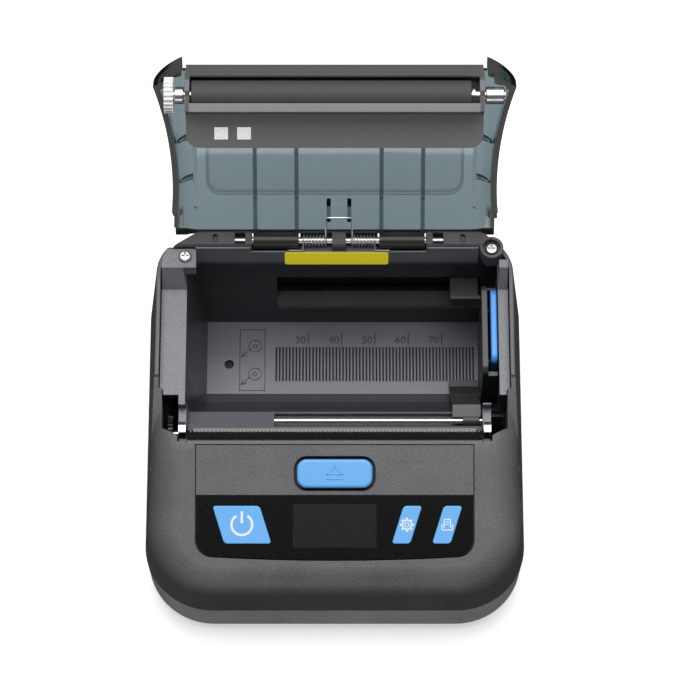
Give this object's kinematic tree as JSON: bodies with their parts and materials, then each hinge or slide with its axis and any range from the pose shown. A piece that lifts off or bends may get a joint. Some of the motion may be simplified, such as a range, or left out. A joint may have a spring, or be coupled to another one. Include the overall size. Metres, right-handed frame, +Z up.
{
  "type": "portable label printer",
  "caption": "Portable thermal label printer: rounded wedge case with a control deck, an open roll bay with a sliding paper guide, and a hinged smoky lid that carries the rubber platen.",
  "frame": {"origin": "centre of the flat underside", "axes": "+X to the user's right, +Y towards the hinge at the rear, +Z up"},
  "size_m": [0.11, 0.1371, 0.1047],
  "materials": {
    "case_grey": "fine spark texture",
    "case_band": "fine spark texture",
    "bay_grey": "moulded",
    "hinge_grey": "moulded",
    "carrier_grey": "satin",
    "guide_grey": "moulded",
    "smoky_clear": "translucent",
    "panel_black": "glossy",
    "display_dark": "glossy",
    "key_blue": "satin",
    "paddle_blue": "satin",
    "rubber_grey": "ground",
    "white_nylon": "moulded",
    "dark_acetal": "moulded",
    "brass_gear": "machined",
    "bush_dark": "moulded",
    "bright_steel": "ground",
    "spring_steel": "drawn wire",
    "chrome_steel": "plated",
    "blade_steel": "stamped",
    "screw_steel": "black zinc",
    "bracket_steel": "stamped",
    "motor_can": "plated can",
    "head_alloy": "machined",
    "head_ceramic": "glazed",
    "sensor_clear": "clear",
    "label_yellow": "coated",
    "board_green": "solder mask",
    "chip_black": "moulded",
    "dome_steel": "stamped",
    "socket_steel": "drawn",
    "battery_wrap": "shrink wrap"
  },
  "bodies": {
    "base": {"upper_case": "case_grey", "control_plate": "case_grey", "lower_case": "case_band", "battery_cover": "case_band", "roll_bay": "bay_grey", "hinge_bar": "hinge_grey", "control_overlay": "panel_black", "display_window": "display_dark", "hinge_pins": "bright_steel", "guide_rod": "bright_steel", "head_pin": "bright_steel", "gear_axles": "bright_steel", "lid_spring": "spring_steel", "head_spring": "spring_steel", "tear_blade": "blade_steel", "frame_screws": "screw_steel", "case_screws": "screw_steel", "panel_screws": "screw_steel", "gear_bracket": "bracket_steel", "feed_motor": "motor_can", "rear_label": "label_yellow", "main_board": "board_green", "key_board": "board_green", "board_chips": "chip_black", "display_module": "chip_black", "dome_switches": "dome_steel", "charging_socket": "socket_steel", "battery_pack": "battery_wrap"},
    "lid": {"lid_shell": "smoky_clear", "roller_carrier": "carrier_grey", "sensor_windows": "sensor_clear", "bush_left": "bush_dark", "bush_right": "bush_dark"},
    "platen": {"platen_shaft": "bright_steel", "platen_rubber": "rubber_grey", "platen_gear": "white_nylon"},
    "open_button": {"open_button": "key_blue"},
    "latch": {"latch_shaft": "bright_steel", "latch_hook_left": "chrome_steel", "latch_hook_right": "chrome_steel"},
    "power_key": {"power_key": "key_blue"},
    "settings_key": {"settings_key": "key_blue"},
    "feed_key": {"feed_key": "key_blue"},
    "guide": {"paper_guide": "guide_grey"},
    "paddle": {"guide_paddle": "paddle_blue"},
    "pinion": {"motor_pinion": "brass_gear"},
    "reduction": {"reduction_gear": "dark_acetal"},
    "drive": {"drive_gear": "dark_acetal"},
    "head": {"thermal_head": "head_ceramic", "head_plate": "head_alloy"}
  },
  "joints": [
    {"name": "lid_hinge", "type": "hinge", "parent": "base", "child": "lid", "pos_m": [0.0012, 0.0473, 0.0524], "axis": [1, 0, 0], "range_deg": [0, 124], "stiffness_Nm_per_rad": 0.012, "deforming": ["lid_spring"]},
    {"name": "platen_spin", "type": "hinge", "parent": "lid", "child": "platen", "pos_m": [0, 0.06955, 0.09951], "axis": [1, 0, 0], "continuous": true},
    {"name": "open_press", "type": "slide", "parent": "base", "child": "open_button", "axis": [0, 0.342, -0.9397], "range_m": [0, 0.0008], "stiffness_N_per_m": 1500},
    {"name": "latch_turn", "type": "hinge", "parent": "base", "child": "latch", "pos_m": [0, -0.016, 0.0365], "axis": [1, 0, 0], "range_deg": [0, 7]},
    {"name": "power_press", "type": "slide", "parent": "base", "child": "power_key", "axis": [0, 0.342, -0.9397], "range_m": [0, 0.0003], "stiffness_N_per_m": 1500},
    {"name": "settings_press", "type": "slide", "parent": "base", "child": "settings_key", "axis": [0, 0.342, -0.9397], "range_m": [0, 0.0003], "stiffness_N_per_m": 1500},
    {"name": "feed_press", "type": "slide", "parent": "base", "child": "feed_key", "axis": [0, 0.342, -0.9397], "range_m": [0, 0.0003], "stiffness_N_per_m": 1500},
    {"name": "guide_slide", "type": "slide", "parent": "base", "child": "guide", "axis": [-1, 0, 0], "range_m": [0, 0.05]},
    {"name": "paddle_press", "type": "slide", "parent": "guide", "child": "paddle", "axis": [-1, 0, 0], "range_m": [0, 0.0006], "stiffness_N_per_m": 1000},
    {"name": "wheel_spin", "type": "hinge", "parent": "base", "child": "reduction", "pos_m": [0, -0.0125, 0.02734], "axis": [1, 0, 0], "continuous": true},
    {"name": "pinion_spin", "type": "hinge", "parent": "base", "child": "pinion", "pos_m": [0, -0.0085, 0.01845], "axis": [1, 0, 0], "continuous": true},
    {"name": "drive_spin", "type": "hinge", "parent": "base", "child": "drive", "pos_m": [0, -0.0065, 0.03503], "axis": [1, 0, 0], "continuous": true},
    {"name": "head_pivot", "type": "hinge", "parent": "base", "child": "head", "pos_m": [0, -0.0108, 0.0342], "axis": [1, 0, 0], "range_deg": [0, 1.5], "stiffness_Nm_per_rad": 0.8}
  ],
  "couplings": [
    {"joint": "latch_turn", "follows": "open_press", "rad_per_m": 151.63},
    {"joint": "pinion_spin", "follows": "wheel_spin", "ratio": -3},
    {"joint": "drive_spin", "follows": "wheel_spin", "ratio": -1}
  ]
}
